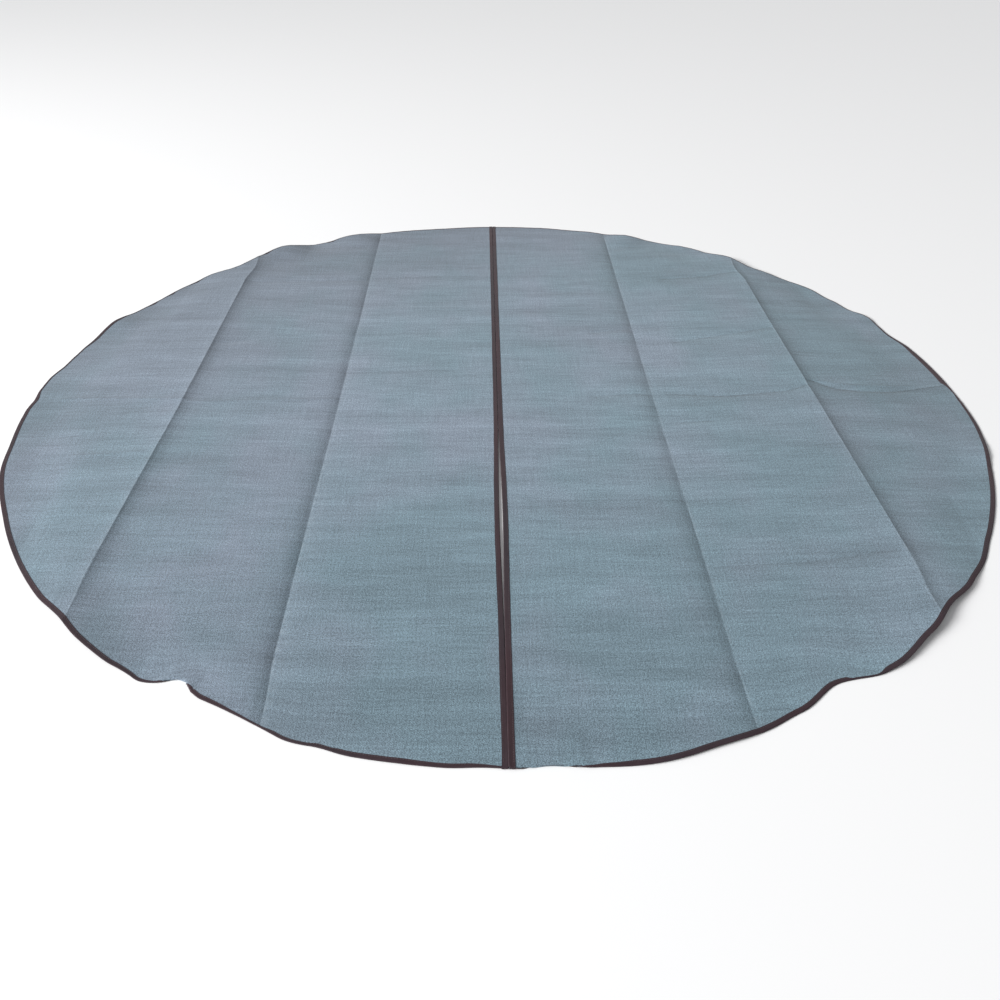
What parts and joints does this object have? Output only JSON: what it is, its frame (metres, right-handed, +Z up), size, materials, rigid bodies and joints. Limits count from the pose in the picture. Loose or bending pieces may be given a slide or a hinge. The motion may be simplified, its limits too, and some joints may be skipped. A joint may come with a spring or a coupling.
{
  "type": "spa cover",
  "caption": "Round ground cover made as half-moon cloths that meet at a slit, bound in tape and creased to fold up like a fan.",
  "frame": {"origin": "on the ground under the middle of the slit, at the centre of the box's bottom face", "axes": "+Y along the slit towards the back, +X across the slit towards the right half, +Z up"},
  "size_m": [3.6586, 3.6598, 0.025],
  "materials": {
    "cloth": "matt blue-grey woven cloth with fine cross streaks",
    "binding": "dark brown woven edge tape with a slight sheen"
  },
  "bodies": {
    "left_inner": {"left_inner_panel": "cloth", "left_slit_binding": "binding", "left_inner_front_binding": "binding", "left_inner_back_binding": "binding"},
    "left_middle": {"left_middle_panel": "cloth", "left_middle_front_binding": "binding", "left_middle_back_binding": "binding"},
    "left_outer": {"left_outer_panel": "cloth", "left_outer_binding": "binding"},
    "right_inner": {"right_inner_panel": "cloth", "right_slit_binding": "binding", "right_inner_front_binding": "binding", "right_inner_back_binding": "binding"},
    "right_middle": {"right_middle_panel": "cloth", "right_middle_front_binding": "binding", "right_middle_back_binding": "binding"},
    "right_outer": {"right_outer_panel": "cloth", "right_outer_binding": "binding"}
  },
  "joints": [
    {"name": "left_inner_crease", "type": "hinge", "parent": "left_inner", "child": "left_middle", "pos_m": [-0.621, 0, 0.006], "axis": [0, 1, 0], "range_deg": [0, 172]},
    {"name": "left_outer_crease", "type": "hinge", "parent": "left_middle", "child": "left_outer", "pos_m": [-1.2416, 0, 0.019], "axis": [0, -1, 0], "range_deg": [0, 170]},
    {"name": "halves_apart", "type": "slide", "parent": "left_inner", "child": "right_inner", "axis": [1, 0, 0], "range_m": [0, 0.5]},
    {"name": "right_inner_crease", "type": "hinge", "parent": "right_inner", "child": "right_middle", "pos_m": [0.621, 0, 0.006], "axis": [0, -1, 0], "range_deg": [0, 172]},
    {"name": "right_outer_crease", "type": "hinge", "parent": "right_middle", "child": "right_outer", "pos_m": [1.2416, 0, 0.019], "axis": [0, 1, 0], "range_deg": [0, 170]}
  ]
}
